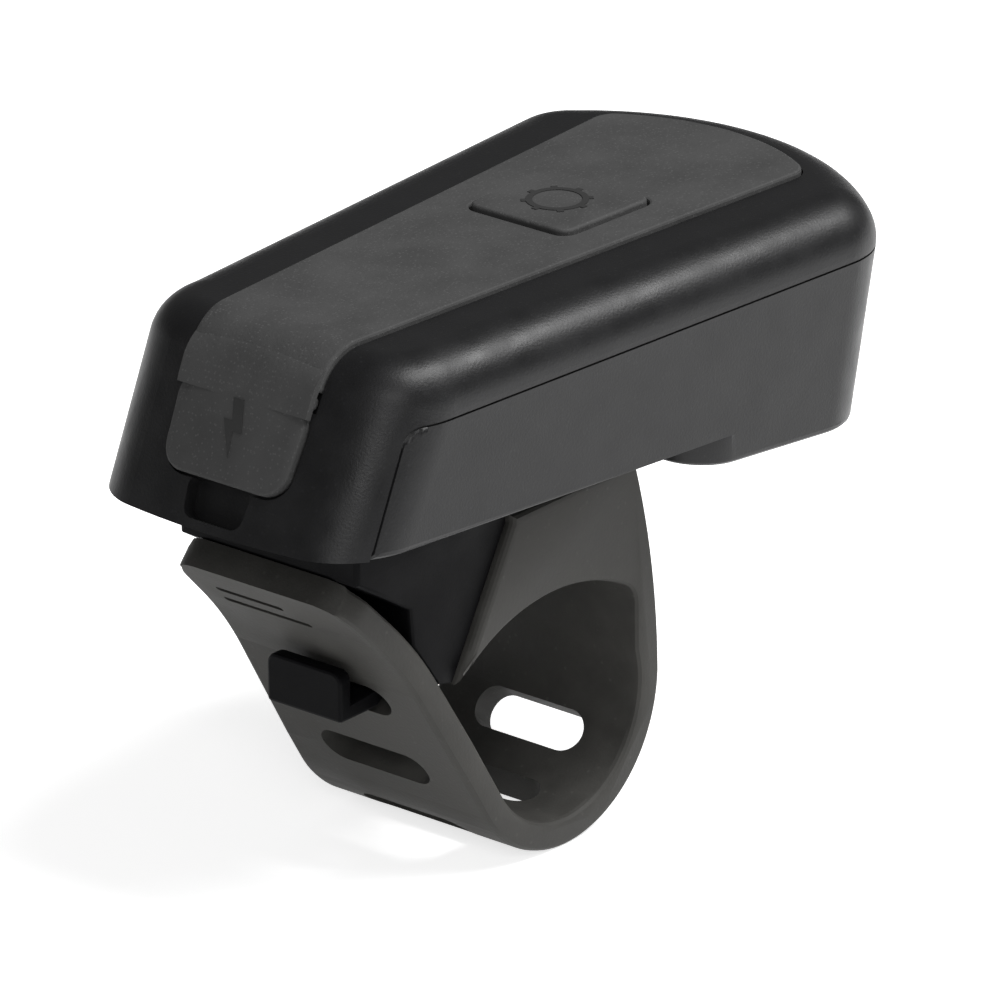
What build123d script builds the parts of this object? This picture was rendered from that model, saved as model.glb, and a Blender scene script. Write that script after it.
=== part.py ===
from build123d import *

import math
import os
from functools import cache

# Bike headlight on a wedge base with a perforated rubber strap.
# Origin on the handlebar's axis, +X along the beam, +Y to the rider's left, +Z up, millimetres.

# Handlebar, strap and saddle
bar_r = 12.7
bar_contact_top_deg = 16.0
bar_contact_end_deg = 149.0
strap_half = 14.1
strap_thickness = 3.4
strap_front_thickness = 3.6
strap_run = 20.2
tail_bend_r = 52.0
tail_bend_deg = 13.0
tail_length = 8.4
tail_half = 12.7
tail_corner_r = 4.5
tail_edge_bevel = 0.9
slot_length = 15.5
slot_height = 5.0
slot_pitch = 12.2
slot_first_deg = 38.5
slot_count = 5
grip_offsets = [5.1, 7.8, 10.3]
grip_left_ends = [8.4, 8.9, 9.4]
grip_right_ends = [1.4, 3.9, 5.9]
grip_width = 0.9
grip_depth = 0.5
arch_r = 24.0
arch_center_x = -1.5
arch_center_z = -8.8
arch_corner_r = 3.2
saddle_front_x = 12.4
saddle_top_z = 26.6
saddle_corner_r = 1.6
saddle_back_x = -8.8
saddle_tip_x = -18.2
saddle_tip_z = 9.3

# Mount base and hook
base_half = 13.0
base_front_x = 11.7
base_rear_x = -34.0
base_rear_z = 26.0
base_heel_x = -28.4
base_heel_z = 22.5
base_knee_x = -25.2
base_knee_z = 20.4
base_seat_x = -24.8
base_seat_z = 15.9
base_toe_x = -20.7
base_toe_z = 10.0
base_edge_r = 0.6
hook_half = 5.4
hook_thickness = 2.0
hook_root_x = -18.4
hook_end_x = -26.6
lip_top_z = 11.6
lip_thickness = 1.9
lip_corner_r = 1.6

# Housing outline
side_half = 22.81
side_taper = 0.074
top_z = 52.3
parting_z = 45.6
belly_rear_z = 32.2
belly_rear_x = -42.0
belly_front_z = 30.8
chin_x = 12.0
chin_rear_z = 27.5
chin_front_z = 25.8
chin_front_x = 37.0
chin_corner_r = 6.0
front_ref_z = 47.6
front_apex_x = 53.5
front_arc_r = 33.5
front_lean = 0.23
front_corner_r = 9.0
rear_ref_z = 31.6
rear_x = -44.2
rear_arc_r = 90.0
rear_lean = 0.5
rear_corner_r = 9.0
shoulder_r = 6.0
lower_edge_r = 1.2
wall = 2.0
reach = 90.0
parting_rear_x = -38.3
parting_rear_z = 32.4
parting_slope = 0.46
parting_bend_r = 3.0
parting_groove = 0.25

# Top pad and flap
pad_half = 11.9
pad_taper = 0.07
pad_apex_x = 46.0
pad_arc_r = 26.0
pad_corner_r = 3.0
pad_proud = 0.6
pad_depth = 1.0
pad_gap = 0.2
hinge_x = -36.3
hinge_z = 47.35
hinge_sink = 0.15
knuckle_r = 0.8
flap_top_half = 9.2
flap_low_half = 8.6
flap_length = 11.2
flap_corner_r = 3.0
flap_proud = 0.8
flap_sink = 0.7
flap_gap = 0.35
pad_end_gap = 1.3
plug_width = 11.0
plug_height = 7.0
plug_wall = 1.0
plug_depth = 2.2
plug_s = 5.9
port_shift = 0.1
port_gap = 0.45
pull_half = 4.6
pull_low_half = 4.0
pull_top_s = 11.4
pull_low_s = 15.8
pull_depth = 2.0
pull_corner_r = 1.4
pull_wall = 1.6

# Button and switch
button_rear_x = 8.4
button_front_x = 22.9
button_rear_half = 7.2
button_front_half = 7.9
button_corner_r = 1.6
button_top_z = 53.4
button_thickness = 1.3
button_gap = 0.3
button_edge_r = 0.4
plunger_x = 15.6
plunger_r = 2.0
plunger_gap = 0.7
stem_r = 0.9
stem_fit = 0.08
stem_top_z = 47.8
stem_low_z = 46.1
stem_room = 0.7
switch_side = 6.0
switch_height = 2.0

# Board, cell and charging socket
pcb_z = 43.8
pcb_thickness = 1.2
pcb_rear_x = -32.0
pcb_front_x = 29.5
pcb_half = 13.4
pcb_corner_r = 1.5
post_r = 1.6
post_spots = [(-28.6, 11.4), (27.0, 11.8)]
chip_boxes = [(-8.0, 5.0, 6.0, 6.0, 1.0), (-18.0, -6.0, 5.2, 5.2, 2.4), (2.0, -6.0, 4.0, 4.0, 0.9)]
chip_boxes_small = [(-16.0, 6.0, 3.2, 1.6, 1.2), (4.0, 6.5, 3.2, 1.6, 1.2), (22.0, 7.5, 3.2, 2.5, 1.1)]
cell_rear_x = -25.0
cell_front_x = 25.0
cell_half = 17.0
cell_z = 34.8
cell_height = 8.4
cell_edge_r = 1.6
foam_thickness = 0.5
foam_margin = 2.0
rib_thickness = 1.2
cell_rib_spots = [-18.0, 10.0]
cell_rib_half = 15.0
socket_rear_x = -32.8
socket_length = 5.6
socket_width = 7.5
socket_height = 2.9
socket_wall = 0.35
socket_corner_r = 0.8
tongue_thickness = 0.7
lead_r = 0.6
lead_bend_r = 0.9
cell_lead_spots = [5.5, 7.5]
cell_lead_x = -26.1
cell_lead_z = 41.0

# Light source
lens_center_z = 36.4
bezel_width = 39.0
bezel_height = 16.5
bezel_corner_r = 4.0
bezel_depth = 1.4
window_width = 34.0
window_height = 12.5
window_corner_r = 3.0
lens_width = 37.6
lens_height = 15.1
lens_corner_r = 3.4
lens_depth = 3.4
fit_gap = 0.15
flange_width = 40.5
flange_height = 17.0
flange_corner_r = 4.6
gasket_depth = 4.0
flange_depth = 5.2
frame_margin = 2.0
bowl_focus = 2.8
bowl_vertex_x = 27.6
bowl_axis_z = 32.2
bowl_thickness = 1.0
bowl_mouth_x = 48.0
emitter_side = 3.5
emitter_height = 0.6
led_board_z = 30.6
led_board_thickness = 1.0
led_board_rear_x = 25.5
led_board_front_x = 38.0
led_board_half = 9.5
spreader_z = 29.2
spreader_rear_x = 18.0
spreader_front_x = 40.0
spreader_half = 9.8
spreader_rib_spots = [21.0, 35.0]
led_lead_spots = [7.0, 8.6]
led_lead_x = 26.9
led_lead_pad_x = 29.0

# Seal and screws
seal_near = 0.7
seal_far = 1.3
seal_half_height = 0.5
screw_rear = (-28.4, 16.9)
screw_front = (32.5, 20.4)
screw_post_r = 3.0
screw_head_r = 1.9
screw_head_height = 1.4
screw_head_sink = 3.0
screw_shank_r = 1.0
screw_top_z = 49.6
screw_fit = 0.2
recess_drive_r = 0.8
recess_drive_depth = 0.8
base_screw_spots = [-14.0, 4.0]
base_screw_head_r = 2.0
base_screw_head_top = 34.0
base_screw_head_height = 1.2
base_screw_r = 1.1
base_screw_length = 4.0

overrun = 6.0

# Sizes worked out from the ones above
belly_slope = (belly_front_z - belly_rear_z) / (chin_x - belly_rear_x)
chin_slope = (chin_front_z - chin_rear_z) / (chin_front_x - chin_x)
front_skew = math.hypot(1, front_lean)
rear_skew = math.hypot(1, rear_lean)
wall_out = Vector(-1 / rear_skew, 0, rear_lean / rear_skew)
wall_down = Vector(-rear_lean / rear_skew, 0, -1 / rear_skew)
wall_plane = Plane(origin=(hinge_x, 0, hinge_z), x_dir=(0, 1, 0), z_dir=wall_out)
hinge_point = Vector(hinge_x, 0, hinge_z) - wall_out * hinge_sink
pcb_top_z = pcb_z + pcb_thickness


def belly_z(x):
    """Height of the housing's flat bottom at x."""
    return belly_rear_z + belly_slope * (x - belly_rear_x)


def chin_z(x):
    """Height of the chin's bottom at x."""
    return chin_rear_z + chin_slope * (x - chin_x)


def side_y(x):
    """Half-width of the housing at x."""
    return side_half + side_taper * x


def both_sides(spots):
    """Each (x, y) spot with its mirror image across the middle plane."""
    return [(x, side * y) for x, y in spots for side in (1, -1)]


def plan_trapezoid(rear_x, front_x, rear_half, front_half):
    """Corner points, in plan, of a symmetrical trapezoid."""
    return [(rear_x, -rear_half), (front_x, -front_half), (front_x, front_half), (rear_x, rear_half)]


def side_prism(points, half):
    """Solid of an XZ outline, half wide on each side of the middle plane."""
    with BuildPart() as prism:
        with BuildSketch(Plane.XZ):
            with BuildLine():
                Polyline(*points, close=True)
            make_face()
        extrude(amount=half, both=True)
    return prism.part


@cache
def chin_block(inset):
    """The stepped chin under the housing's front half, moved in by inset."""
    rear = chin_x + inset
    low = [(rear, chin_z(rear) + inset), (reach, chin_z(reach) + inset), (reach, parting_z), (rear, parting_z)]
    profile = side_prism(low, reach)
    with BuildPart() as chin:
        with BuildSketch(Plane.XY):
            outline = plan_trapezoid(rear, reach, side_y(rear) - inset, side_y(reach) - inset)
            with BuildLine():
                Polyline(*outline, close=True)
            make_face()
            fillet([v for v in vertices() if v.X < rear + overrun], chin_corner_r - inset)
        extrude(amount=reach)
        add(profile, mode=Mode.INTERSECT)
    return chin.part


@cache
def front_block(inset):
    """Everything behind the leaning front wall moved in by inset."""
    radius = front_arc_r - inset * front_skew
    center_x = front_apex_x - front_arc_r - front_lean * front_ref_z
    with BuildPart() as block:
        with BuildSketch(Plane.XY):
            with Locations((center_x, 0)):
                Circle(radius)
                Rectangle(reach + reach, radius + radius, align=(Align.MAX, Align.CENTER))
        extrude(amount=reach, dir=(front_lean, 0, 1))
    return block.part


@cache
def housing_block(inset):
    """Everything inside the housing's outer skin moved in by inset, or out when it is negative."""
    low_rear = (-reach, belly_z(-reach) + inset)
    low_front = (reach, belly_z(reach) + inset)
    side = side_prism([low_rear, low_front, (reach, top_z - inset), (-reach, top_z - inset)], reach)
    chin = chin_block(inset)
    front = front_block(inset)
    rear_r = rear_arc_r - inset * rear_skew
    rear_center = rear_x + rear_arc_r - rear_lean * rear_ref_z
    with BuildPart() as block:
        with BuildSketch(Plane.XY):
            with BuildLine():
                rear_half = side_y(-reach) - inset
                Polyline(*plan_trapezoid(-reach, reach, rear_half, side_y(reach) - inset), close=True)
            make_face()
        extrude(amount=reach)
        add(side, mode=Mode.INTERSECT)
        add(chin)
        add(front, mode=Mode.INTERSECT)
        with BuildSketch(Plane.XY):
            with Locations((rear_center, 0)):
                Circle(rear_r)
                Rectangle(reach + reach, rear_r + rear_r, align=(Align.MIN, Align.CENTER))
        extrude(amount=reach, dir=(rear_lean, 0, 1), mode=Mode.INTERSECT)
        upright = edges().filter_by(lambda e: abs(e.tangent_at(0.5).Z) > math.cos(math.pi / 4))
        fillet(upright.filter_by(lambda e: e.center().X > chin_front_x - overrun), front_corner_r - inset)
        upright = edges().filter_by(lambda e: abs(e.tangent_at(0.5).Z) > math.cos(math.pi / 4))
        fillet(upright.filter_by(lambda e: e.center().X < 0), rear_corner_r - inset)
        fillet(faces().sort_by(Axis.Z)[-1].edges(), shoulder_r - inset)
    return block.part


def layer(near, far):
    """Shell of the housing's form between two depths under the skin."""
    outer = housing_block(near)
    inner = housing_block(far)
    with BuildPart() as shell:
        add(outer)
        add(inner, mode=Mode.SUBTRACT)
    return shell.part


def front_layer(near, far):
    """Sheet along the leaning front wall between two depths under it."""
    outer = front_block(near)
    inner = front_block(far)
    with BuildPart() as sheet:
        add(outer)
        add(inner, mode=Mode.SUBTRACT)
    return sheet.part


def upper_zone(shift):
    """Everything above and behind the parting line, moved up and back by shift."""
    step_x = parting_rear_x + parting_slope * (parting_z - parting_rear_z)
    skew = shift * math.hypot(1, parting_slope)
    low_z = 0
    low_x = parting_rear_x + parting_slope * (low_z - parting_rear_z) - skew
    corner = (step_x + parting_slope * shift - skew, parting_z + shift)
    with BuildPart() as zone:
        with BuildSketch(Plane.XZ):
            with BuildLine():
                Polyline((low_x, low_z), corner, (reach, corner[1]), (reach, reach), (-reach, reach),
                         (-reach, low_z), close=True)
            make_face()
            bend = vertices().sort_by(lambda v: math.hypot(v.X - corner[0], v.Z - corner[1]))[0]
            fillet(bend, parting_bend_r - shift)
        extrude(amount=reach, both=True)
    return zone.part


def parting_band(half_height):
    """Slab that follows the parting line, half_height to each side of it."""
    low = upper_zone(-half_height)
    high = upper_zone(half_height)
    with BuildPart() as band:
        add(low)
        add(high, mode=Mode.SUBTRACT)
    return band.part


def common(first, second):
    """The part two solids share."""
    with BuildPart() as shared:
        add(first)
        add(second, mode=Mode.INTERSECT)
    return shared.part


def remains(first, second):
    """What is left of the first solid without the second."""
    with BuildPart() as rest:
        add(first)
        add(second, mode=Mode.SUBTRACT)
    return rest.part


def posts(spots, radius, low, high):
    """Round posts at plan spots from low to high."""
    with BuildPart() as group:
        with BuildSketch(Plane.XY.offset(low)):
            with Locations(*spots):
                Circle(radius)
        extrude(amount=high - low)
    return group.part


def boxes(items):
    """Boxes given as (x, y, low z, length, width, height)."""
    with BuildPart() as group:
        for x, y, low, length, width, height in items:
            with Locations((x, y, low)):
                Box(length, width, height, align=(Align.CENTER, Align.CENTER, Align.MIN))
    return group.part


def front_prism(width, height, corner_r):
    """Beam-direction prism with a rounded rectangular outline round the lens centre."""
    with BuildPart() as prism:
        with BuildSketch(Plane.YZ.offset(spreader_rear_x)):
            with Locations((0, lens_center_z)):
                RectangleRounded(width, height, corner_r)
        extrude(amount=reach)
    return prism.part


def pad_prism(gap):
    """Upright prism on the top pad's plan outline, wider by gap all round."""
    with BuildPart() as prism:
        with BuildSketch(Plane.XY.offset(pcb_z)):
            with Locations((pad_apex_x - pad_arc_r, 0)):
                Circle(pad_arc_r + gap)
                Rectangle(reach, pad_arc_r + pad_arc_r, align=(Align.MAX, Align.CENTER))
            with BuildLine():
                rear_half = pad_half + pad_taper * hinge_x + gap
                front_half = pad_half + pad_taper * reach + gap
                Polyline(*plan_trapezoid(hinge_x, reach, rear_half, front_half), close=True)
            make_face(mode=Mode.INTERSECT)
            fillet([v for v in vertices() if v.X > 0], pad_corner_r + gap)
        extrude(amount=reach)
    return prism.part


def flap_prism(gap):
    """Prism square to the rear wall on the flap's outline, wider by gap all round."""
    low = flap_length + gap
    with BuildPart() as prism:
        with BuildSketch(wall_plane):
            with BuildLine():
                Polyline((-flap_top_half - gap, 0), (flap_top_half + gap, 0), (flap_low_half + gap, low),
                         (-flap_low_half - gap, low), close=True)
            make_face()
            fillet([v for v in vertices() if v.Z < hinge_z - overrun], flap_corner_r + gap)
        extrude(amount=overrun, both=True)
    return prism.part


def button_prism(gap, low, high):
    """Upright prism on the button's outline, wider by gap all round."""
    with BuildPart() as prism:
        with BuildSketch(Plane.XY.offset(low)):
            with BuildLine():
                Polyline(*plan_trapezoid(button_rear_x - gap, button_front_x + gap, button_rear_half + gap,
                                         button_front_half + gap), close=True)
            make_face()
            fillet(vertices(), button_corner_r + gap)
        extrude(amount=high - low)
    return prism.part


def plug_prism(width, height, corner_r, shift, near, far):
    """Rounded prism square to the rear wall at the charging port, between two depths."""
    with BuildPart() as prism:
        with BuildSketch(wall_plane.offset(-far)):
            with Locations((0, plug_s + shift)):
                RectangleRounded(width, height, corner_r)
        extrude(amount=far - near)
    return prism.part


outer_block = housing_block(0)
inner_block = housing_block(wall)
trim_block = housing_block(wall / 2)
shell_skin = remains(outer_block, inner_block)
upper_half = upper_zone(0)

# Strap with its saddle block
outer_r = bar_r + strap_thickness
end_rad = math.radians(-bar_contact_end_deg)
top_rad = math.radians(bar_contact_top_deg)
run_dir = Vector(math.sin(end_rad), 0, -math.cos(end_rad))
run_out = Vector(math.cos(end_rad), 0, math.sin(end_rad))
run_start = run_out * bar_r
run_end = run_start + run_dir * strap_run
bend_center = run_end + run_out * tail_bend_r
bend_rad = math.radians(tail_bend_deg)
tail_dir = run_dir.rotate(Axis.Y, -tail_bend_deg)
tail_out = run_out.rotate(Axis.Y, -tail_bend_deg)
tail_start = bend_center - tail_out * tail_bend_r
tail_end = tail_start + tail_dir * tail_length
tail_mid_out = run_out.rotate(Axis.Y, -tail_bend_deg / 2)
outer_bend_r = tail_bend_r - strap_thickness


def flat(point):
    """A point's X and Z as sketch coordinates."""
    return (point.X, point.Z)


arch_center = Vector(arch_center_x, 0, arch_center_z)
tip = Vector(saddle_tip_x, 0, saddle_tip_z)
front_wall_x = bar_r * math.cos(top_rad)
arch_front_z = arch_center_z + math.sqrt(arch_r ** 2 - (front_wall_x - arch_center_x) ** 2)
arch_mid = (arch_center_x, arch_center_z + arch_r)
front_low = (bar_r + strap_front_thickness, 0)
with BuildPart() as strap:
    with BuildSketch(Plane.XZ):
        with BuildLine():
            ThreePointArc(flat(tip), arch_mid, (front_wall_x, arch_front_z))
            Line((front_wall_x, arch_front_z), (front_wall_x, bar_r * math.sin(top_rad)))
            ThreePointArc((front_wall_x, bar_r * math.sin(top_rad)), (0, -bar_r), flat(run_start))
            Line(flat(run_start), flat(run_end))
            ThreePointArc(flat(run_end), flat(bend_center - tail_mid_out * tail_bend_r), flat(tail_start))
            Line(flat(tail_start), flat(tail_end))
            Line(flat(tail_end), flat(tail_end + tail_out * strap_thickness))
            Line(flat(tail_end + tail_out * strap_thickness), flat(tail_start + tail_out * strap_thickness))
            ThreePointArc(flat(tail_start + tail_out * strap_thickness),
                          flat(bend_center - tail_mid_out * outer_bend_r),
                          flat(run_end + run_out * strap_thickness))
            Line(flat(run_end + run_out * strap_thickness), flat(run_out * outer_r))
            ThreePointArc(flat(run_out * outer_r), (0, -outer_r),
                          (outer_r * math.cos(math.pi / 6), -outer_r * math.sin(math.pi / 6)))
            TangentArc((outer_r * math.cos(math.pi / 6), -outer_r * math.sin(math.pi / 6)), front_low,
                       tangent=(math.sin(math.pi / 6), math.cos(math.pi / 6)))
            TangentArc(front_low, (saddle_front_x, saddle_top_z), tangent=(0, 1))
            Polyline((saddle_front_x, saddle_top_z), (saddle_back_x, saddle_top_z),
                     (saddle_back_x, saddle_top_z - strap_half / strap_half), flat(tip))
        make_face()
        fillet(vertices().sort_by(lambda v: math.hypot(v.X - front_wall_x, v.Z - arch_front_z))[0], arch_corner_r)
        fillet(vertices().sort_by(lambda v: math.hypot(v.X - saddle_front_x, v.Z - saddle_top_z))[0],
               saddle_corner_r)
    extrude(amount=strap_half, both=True)
    with BuildSketch(Plane.XY.offset(-reach)):
        with BuildLine():
            waist_x = (run_start + run_dir * (strap_run / 2)).X
            slope = (strap_half - tail_half) / (waist_x - tail_end.X)
            far_half = strap_half - slope * (waist_x + reach)
            Polyline((reach, -strap_half), (reach, strap_half), (waist_x, strap_half), (-reach, far_half),
                     (-reach, -far_half), (waist_x, -strap_half), close=True)
        make_face()
    extrude(amount=reach + reach, mode=Mode.INTERSECT)
    fillet(edges().filter_by(lambda e: abs(e.tangent_at(0).dot(tail_out)) > math.cos(math.pi / 6)
                             and e.center().X < tail_start.X and e.center().Z > tail_start.Z), tail_corner_r)
    for index in range(slot_count):
        angle = math.radians(slot_first_deg) + index * slot_pitch / outer_r
        along = (angle + end_rad) * outer_r
        out = Vector(math.cos(angle), 0, -math.sin(angle)) if along < 0 else run_out
        center = out * outer_r if along < 0 else run_out * outer_r + run_dir * along
        with BuildSketch(Plane(origin=center, x_dir=(0, 1, 0), z_dir=out)):
            SlotOverall(slot_length, slot_height)
        extrude(amount=strap_thickness + grip_depth, both=True, mode=Mode.SUBTRACT)
    tail_face = tail_end + tail_out * strap_thickness
    for offset, left, right in zip(grip_offsets, grip_left_ends, grip_right_ends):
        middle = tail_face - tail_dir * offset + Vector(0, (left - right) / 2, 0)
        with BuildSketch(Plane(origin=middle, x_dir=(0, 1, 0), z_dir=tail_out)):
            SlotOverall(left + right, grip_width)
        extrude(amount=-grip_depth, mode=Mode.SUBTRACT)

# Mount base with its hook
hook_up = Vector(run_out.Z, 0, -run_out.X) * (hook_thickness / 2)
slot_mid = run_out * outer_r + run_dir * ((math.radians(slot_first_deg) + end_rad) * outer_r
                                          + (slot_count - 1) * slot_pitch)


def along_hook(x, edge):
    """Point of the hook arm's upper or lower edge at x."""
    start = slot_mid + hook_up * edge
    return (x, start.Z + (x - start.X) * run_out.Z / run_out.X)


base_points = [(base_front_x, belly_z(base_front_x)), (base_rear_x, belly_z(base_rear_x)),
               (base_rear_x, base_rear_z), (base_heel_x, base_heel_z), (base_knee_x, base_knee_z),
               (base_seat_x, base_seat_z), (base_toe_x, base_toe_z), (saddle_tip_x, saddle_tip_z),
               (saddle_back_x, saddle_top_z - 1), (saddle_back_x, saddle_top_z), (base_front_x, saddle_top_z)]
hook_points = [along_hook(hook_root_x, 1), along_hook(hook_end_x, 1), (hook_end_x, lip_top_z),
               (hook_end_x - lip_thickness, lip_top_z), along_hook(hook_end_x - lip_thickness, -1),
               along_hook(hook_root_x, -1)]
hook = side_prism(hook_points, hook_half)
with BuildPart() as mount_base:
    with BuildSketch(Plane.XZ):
        with BuildLine():
            Polyline(*base_points, close=True)
        make_face()
    extrude(amount=base_half, both=True)
    add(hook)
    for x in base_screw_spots:
        with Locations((x, 0, belly_z(x))):
            Cylinder(base_screw_r, base_screw_length + base_screw_length, mode=Mode.SUBTRACT)

# Housing shells
screw_spots = both_sides([screw_rear, screw_front])
pcb_posts = both_sides(post_spots)
recess = remains(pad_prism(pad_gap), housing_block(pad_depth))
flap_recess = remains(flap_prism(flap_gap), housing_block(pad_depth))
port = plug_prism(plug_width + port_gap + port_gap, plug_height + port_gap + port_gap,
                  plug_height / 2, port_shift, -overrun, overrun)
button_hole = button_prism(button_gap, top_z - overrun, top_z + overrun)
pull_inner = common(housing_block(wall / 2), plug_prism(
    pull_half + pull_half + pull_wall + pull_wall, pull_low_s - pull_top_s + pull_wall + pull_wall, pull_corner_r,
    (pull_top_s + pull_low_s) / 2 - plug_s, -overrun, pull_depth + pull_wall))
with BuildPart() as pull_cut:
    with BuildSketch(wall_plane.offset(-pull_depth)):
        with BuildLine():
            Polyline((-pull_half, pull_top_s - flap_gap), (pull_half, pull_top_s - flap_gap),
                     (pull_low_half, pull_low_s), (-pull_low_half, pull_low_s), close=True)
        make_face()
        fillet([v for v in vertices() if v.Z < hinge_z - plug_s - plug_s], pull_corner_r)
    extrude(amount=overrun)
groove = common(remains(housing_block(-pad_proud), housing_block(parting_groove)), parting_band(parting_groove / 2))
seal_room = common(layer(seal_near, seal_far), parting_band(seal_half_height))
upper_posts = common(posts(screw_spots, screw_post_r, parting_z, top_z), trim_block)
pcb_clamps = common(posts(pcb_posts, post_r, pcb_top_z, top_z), trim_block)
screw_bores = posts(screw_spots, screw_shank_r, -reach, screw_top_z)
with BuildPart() as upper_shell:
    add(shell_skin)
    add(pull_inner)
    add(upper_half, mode=Mode.INTERSECT)
    add(upper_posts)
    add(pcb_clamps)
    add(recess, mode=Mode.SUBTRACT)
    add(flap_recess, mode=Mode.SUBTRACT)
    add(port, mode=Mode.SUBTRACT)
    add(pull_cut.part, mode=Mode.SUBTRACT)
    add(groove, mode=Mode.SUBTRACT)
    add(seal_room, mode=Mode.SUBTRACT)
    add(screw_bores, mode=Mode.SUBTRACT)
    with Locations((plunger_x, 0, top_z)):
        Cylinder(plunger_r + plunger_gap, wall + wall + wall, mode=Mode.SUBTRACT)
    with Locations(hinge_point):
        Cylinder(knuckle_r + button_gap, flap_top_half + flap_top_half + flap_gap + flap_gap,
                 rotation=(90, 0, 0), mode=Mode.SUBTRACT)

lens_frame = common(remains(trim_block, front_block(lens_depth)), front_prism(
    bezel_width + frame_margin + frame_margin, bezel_height + frame_margin + frame_margin,
    bezel_corner_r + frame_margin))
bezel_hole = remains(front_prism(bezel_width, bezel_height, bezel_corner_r), front_block(bezel_depth))
lens_hole = remains(front_prism(lens_width + fit_gap + fit_gap, lens_height + fit_gap + fit_gap, lens_corner_r),
                    front_block(lens_depth))
lower_posts = common(posts(screw_spots, screw_post_r, -reach, parting_z), trim_block)
pcb_feet = common(posts(pcb_posts, post_r, -reach, pcb_z), trim_block)
cell_ribs = common(boxes([(x, 0, 0, rib_thickness, cell_rib_half + cell_rib_half, cell_z - foam_thickness)
                          for x in cell_rib_spots]), trim_block)
spreader_ribs = common(boxes([(x, 0, 0, rib_thickness, spreader_half + spreader_half, spreader_z)
                              for x in spreader_rib_spots]), trim_block)
web_x, web_y = screw_front
webs = common(boxes([(web_x + screw_post_r, side * (flange_width / 2 - rib_thickness), 0,
                      screw_post_r + screw_post_r, rib_thickness, pcb_z) for side in (1, -1)]),
              common(trim_block, front_block(flange_depth)))
head_low = [(x, y, (chin_z(x) if x > chin_x else belly_z(x)) + screw_head_sink) for x, y in screw_spots]
with BuildPart() as lower_shell:
    add(shell_skin)
    add(lens_frame)
    add(upper_half, mode=Mode.SUBTRACT)
    add(lower_posts)
    add(pcb_feet)
    add(cell_ribs)
    add(spreader_ribs)
    add(webs)
    add(bezel_hole, mode=Mode.SUBTRACT)
    add(lens_hole, mode=Mode.SUBTRACT)
    add(groove, mode=Mode.SUBTRACT)
    add(seal_room, mode=Mode.SUBTRACT)
    add(posts(screw_spots, screw_shank_r + screw_fit, -reach, parting_z + wall), mode=Mode.SUBTRACT)
    for x, y, z in head_low:
        with Locations((x, y, z)):
            Cylinder(screw_head_r + screw_fit, reach, align=(Align.CENTER, Align.CENTER, Align.MAX),
                     mode=Mode.SUBTRACT)
    for x in base_screw_spots:
        with Locations((x, 0, base_screw_head_top)):
            Cylinder(base_screw_head_r + screw_fit, base_screw_head_height,
                     align=(Align.CENTER, Align.CENTER, Align.MAX), mode=Mode.SUBTRACT)
            Cylinder(base_screw_r, reach, mode=Mode.SUBTRACT)

with BuildPart() as housing_seal:
    add(seal_room)

with BuildPart() as housing_screws:
    for x, y, z in head_low:
        with Locations((x, y, z)):
            Cylinder(screw_head_r, screw_head_height, align=(Align.CENTER, Align.CENTER, Align.MAX))
            Cylinder(screw_shank_r, screw_top_z - z, align=(Align.CENTER, Align.CENTER, Align.MIN))
        with Locations((x, y, z - screw_head_height)):
            Cylinder(recess_drive_r, recess_drive_depth, align=(Align.CENTER, Align.CENTER, Align.MIN),
                     mode=Mode.SUBTRACT)

with BuildPart() as base_screws:
    for x in base_screw_spots:
        with Locations((x, 0, base_screw_head_top)):
            Cylinder(base_screw_head_r, base_screw_head_height, align=(Align.CENTER, Align.CENTER, Align.MAX))
        with Locations((x, 0, belly_z(x) - base_screw_length)):
            Cylinder(base_screw_r, base_screw_head_top - base_screw_head_height - belly_z(x) + base_screw_length,
                     align=(Align.CENTER, Align.CENTER, Align.MIN))
        with Locations((x, 0, base_screw_head_top)):
            Cylinder(recess_drive_r, recess_drive_depth, align=(Align.CENTER, Align.CENTER, Align.MAX),
                     mode=Mode.SUBTRACT)

# Top pad, flap and button
pad_layer = common(layer(-pad_proud, pad_depth), pad_prism(0))
with BuildPart() as top_pad:
    add(pad_layer)
    with BuildSketch(wall_plane.offset(-reach)):
        with Locations((0, -pad_end_gap)):
            Rectangle(reach, reach, align=(Align.CENTER, Align.MIN))
    extrude(amount=reach + reach, mode=Mode.SUBTRACT)
    add(button_hole, mode=Mode.SUBTRACT)

flap_layer = common(layer(-flap_proud, flap_sink), flap_prism(0))
plug_r = plug_height / 2 - plug_wall / 2
plug_outer = plug_prism(plug_width, plug_height, plug_r, 0, 0, plug_depth)
plug_inner = plug_prism(plug_width - plug_wall - plug_wall, plug_height - plug_wall - plug_wall,
                        plug_r - plug_wall, 0, flap_sink, plug_depth)
plug_ring = remains(plug_outer, plug_inner)
with BuildPart() as usb_flap:
    add(flap_layer)
    with Locations(hinge_point):
        Cylinder(knuckle_r, flap_top_half + flap_top_half, rotation=(90, 0, 0))
    add(plug_ring)

key_prism = button_prism(0, button_top_z - button_thickness, button_top_z)
with BuildPart() as power_button:
    add(key_prism)
    fillet(faces().sort_by(Axis.Z)[-1].edges(), button_edge_r)

with BuildPart() as button_plunger:
    with Locations((plunger_x, 0, stem_top_z)):
        Cylinder(plunger_r, button_top_z - button_thickness - stem_top_z,
                 align=(Align.CENTER, Align.CENTER, Align.MIN))

with BuildPart() as switch_stem:
    with Locations((plunger_x, 0, stem_low_z)):
        Cylinder(stem_r, stem_top_z - stem_low_z, align=(Align.CENTER, Align.CENTER, Align.MIN))

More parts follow.
